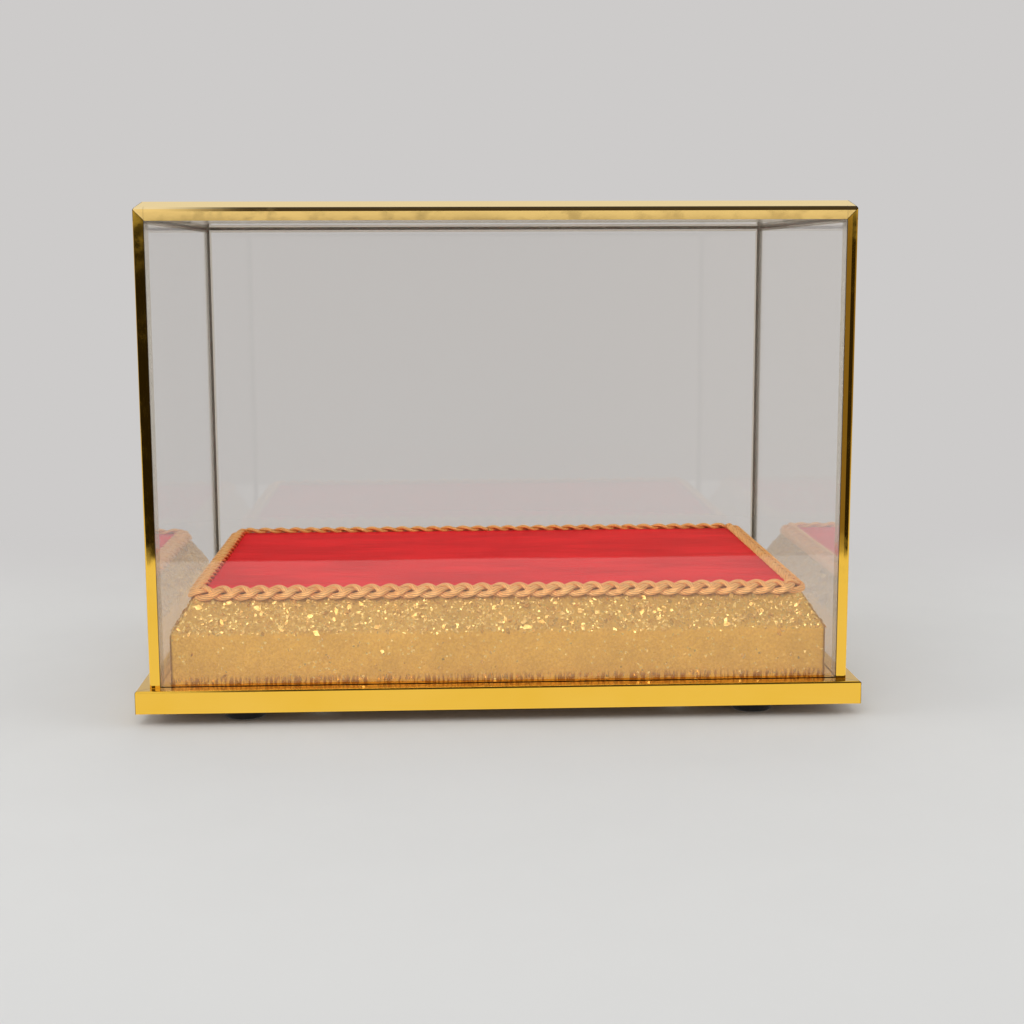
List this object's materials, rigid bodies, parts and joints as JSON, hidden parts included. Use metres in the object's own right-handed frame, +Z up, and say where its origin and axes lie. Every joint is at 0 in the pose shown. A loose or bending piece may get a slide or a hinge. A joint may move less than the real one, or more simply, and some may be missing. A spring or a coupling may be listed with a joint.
{
  "type": "display case",
  "caption": "Glass display case: a lift-off clear cover with gold corner strips over a bevelled plinth in gold fabric with a red velvet top, on a gold-edged board with rubber feet.",
  "frame": {"origin": "under the middle of the case, on the surface that the feet stand on", "axes": "+X along the case's width, to the right as seen from the front; +Y towards the back; +Z up"},
  "size_m": [0.316, 0.214, 0.2237],
  "materials": {
    "clear_glass": "clear float glass, polished edges",
    "gold_strip": "mirror-bright gold",
    "gold_fabric": "glittery metallic weave",
    "red_velvet": "short-pile velvet",
    "gold_braid": "plaited metallic thread",
    "fibreboard": "raw fibreboard",
    "plinth_wood": "plain softwood",
    "black_rubber": "matt black",
    "screw_steel": "zinc plated",
    "clear_silicone": "cloudy clear silicone"
  },
  "bodies": {
    "base": {"base_board": "fibreboard", "base_trim_front": "gold_strip", "base_trim_back": "gold_strip", "base_trim_left": "gold_strip", "base_trim_right": "gold_strip", "foot_front_left": "black_rubber", "foot_front_right": "black_rubber", "foot_back_left": "black_rubber", "foot_back_right": "black_rubber", "foot_screws": "screw_steel", "plinth_rail_front": "plinth_wood", "plinth_rail_back": "plinth_wood", "plinth_rail_left": "plinth_wood", "plinth_rail_right": "plinth_wood", "plinth_deck": "plinth_wood", "plinth_screws": "screw_steel", "gold_fabric_front": "gold_fabric", "gold_fabric_back": "gold_fabric", "gold_fabric_left": "gold_fabric", "gold_fabric_right": "gold_fabric", "velvet_top": "red_velvet", "braid_edging": "gold_braid"},
    "cover": {"glass_front": "clear_glass", "glass_back": "clear_glass", "glass_left": "clear_glass", "glass_right": "clear_glass", "glass_top": "clear_glass", "corner_trim_front_left": "gold_strip", "corner_trim_front_right": "gold_strip", "corner_trim_back_left": "gold_strip", "corner_trim_back_right": "gold_strip", "top_trim_front": "gold_strip", "top_trim_back": "gold_strip", "top_trim_left": "gold_strip", "top_trim_right": "gold_strip", "corner_silicone": "clear_silicone", "top_silicone": "clear_silicone"}
  },
  "joints": [
    {"name": "cover_lift", "type": "slide", "parent": "base", "child": "cover", "axis": [0, 0, 1], "range_m": [0, 0.26]}
  ]
}
